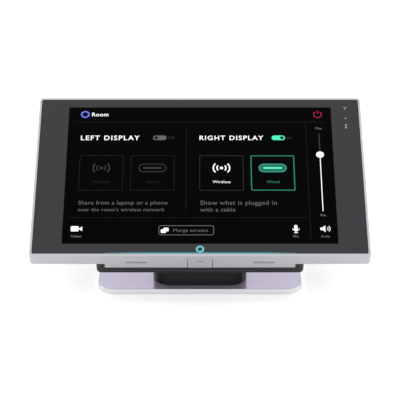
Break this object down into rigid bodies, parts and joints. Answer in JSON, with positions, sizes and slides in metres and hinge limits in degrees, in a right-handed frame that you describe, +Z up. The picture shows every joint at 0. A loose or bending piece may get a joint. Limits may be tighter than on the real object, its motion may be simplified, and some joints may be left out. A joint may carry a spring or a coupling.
{
  "type": "touchscreen terminal",
  "caption": "Countertop touchscreen terminal: a tilted silver tray with a cover glass on a dark housing, a leaning pedestal with ports at its back, and a flat silver base plate.",
  "frame": {"origin": "centre of the base pad's underside, on the counter", "axes": "+X to the user's right along the display, -Y towards the user, +Z up; the glass tilts 30 degrees up from front to back"},
  "size_m": [0.267, 0.1442, 0.1224],
  "materials": {
    "tray_silver": "fine satin anodised",
    "cover_glass": "polished, black printed border, lit page behind",
    "rubber": "matt",
    "light_pipe": "clear, lit teal",
    "display_stack": "smooth",
    "sheet_steel": "zinc-plated sheet",
    "plated_steel": "bright tin plate",
    "sink_aluminium": "matt extruded",
    "port_steel": "black powder coat",
    "screw_steel": "black zinc",
    "chip": "moulded resin",
    "circuit_board": "solder-masked board",
    "flat_cable": "amber film",
    "speaker_plastic": "moulded",
    "light_bar": "frosted grey diffuser",
    "housing_plastic": "fine moulded texture",
    "pedestal_plastic": "fine moulded texture, slight sheen",
    "base_silver": "satin anodised, slightly glossy"
  },
  "bodies": {
    "terminal": {"bezel_frame": "tray_silver", "cover_glass": "cover_glass", "glass_gasket": "rubber", "front_light_pipe": "light_pipe", "home_light_guide": "light_pipe", "touch_sensor": "display_stack", "display_panel": "display_stack", "backlight": "display_stack", "panel_carrier": "sheet_steel", "light_sensor": "chip", "front_light_board": "circuit_board", "front_key_switch": "chip", "microphone_mesh_right": "light_bar", "microphone_right": "plated_steel", "microphone_mesh_left": "light_bar", "microphone_left": "plated_steel", "side_light_bar_right": "light_bar", "side_light_strip_right": "circuit_board", "side_light_bar_left": "light_bar", "side_light_strip_left": "circuit_board", "back_housing": "housing_plastic", "housing_screw_1": "screw_steel", "housing_screw_2": "screw_steel", "housing_screw_3": "screw_steel", "housing_screw_4": "screw_steel", "chassis_plate": "sheet_steel", "main_board": "circuit_board", "processor": "chip", "memory_chip": "chip", "shield_can": "plated_steel", "wireless_module": "circuit_board", "heat_sink": "sink_aluminium", "coin_cell": "plated_steel", "speaker_right": "speaker_plastic", "antenna_right": "flat_cable", "speaker_left": "speaker_plastic", "antenna_left": "flat_cable", "display_cable": "flat_cable", "touch_cable": "flat_cable", "pedestal_shell": "pedestal_plastic", "support_bracket": "sheet_steel", "riser_cable": "flat_cable", "arm_screw_right": "screw_steel", "arm_screw_left": "screw_steel", "network_jack": "plated_steel", "usb_jack": "plated_steel", "power_inlet": "plated_steel", "port_board": "circuit_board", "port_plate": "port_steel", "power_switch": "chip", "base_plate": "base_silver", "base_screw_1": "screw_steel", "base_screw_2": "screw_steel", "base_screw_3": "screw_steel", "base_screw_4": "screw_steel", "non_slip_pad": "rubber"},
    "front_key": {"front_key": "tray_silver"},
    "power_key": {"power_key": "pedestal_plastic"}
  },
  "joints": [
    {"name": "front_key_press", "type": "slide", "parent": "terminal", "child": "front_key", "axis": [0, 0.866, 0.5], "range_m": [0, 0.0005], "stiffness_N_per_m": 1500},
    {"name": "power_key_press", "type": "slide", "parent": "terminal", "child": "power_key", "axis": [0, -1, 0], "range_m": [0, 0.0008], "stiffness_N_per_m": 1200}
  ]
}
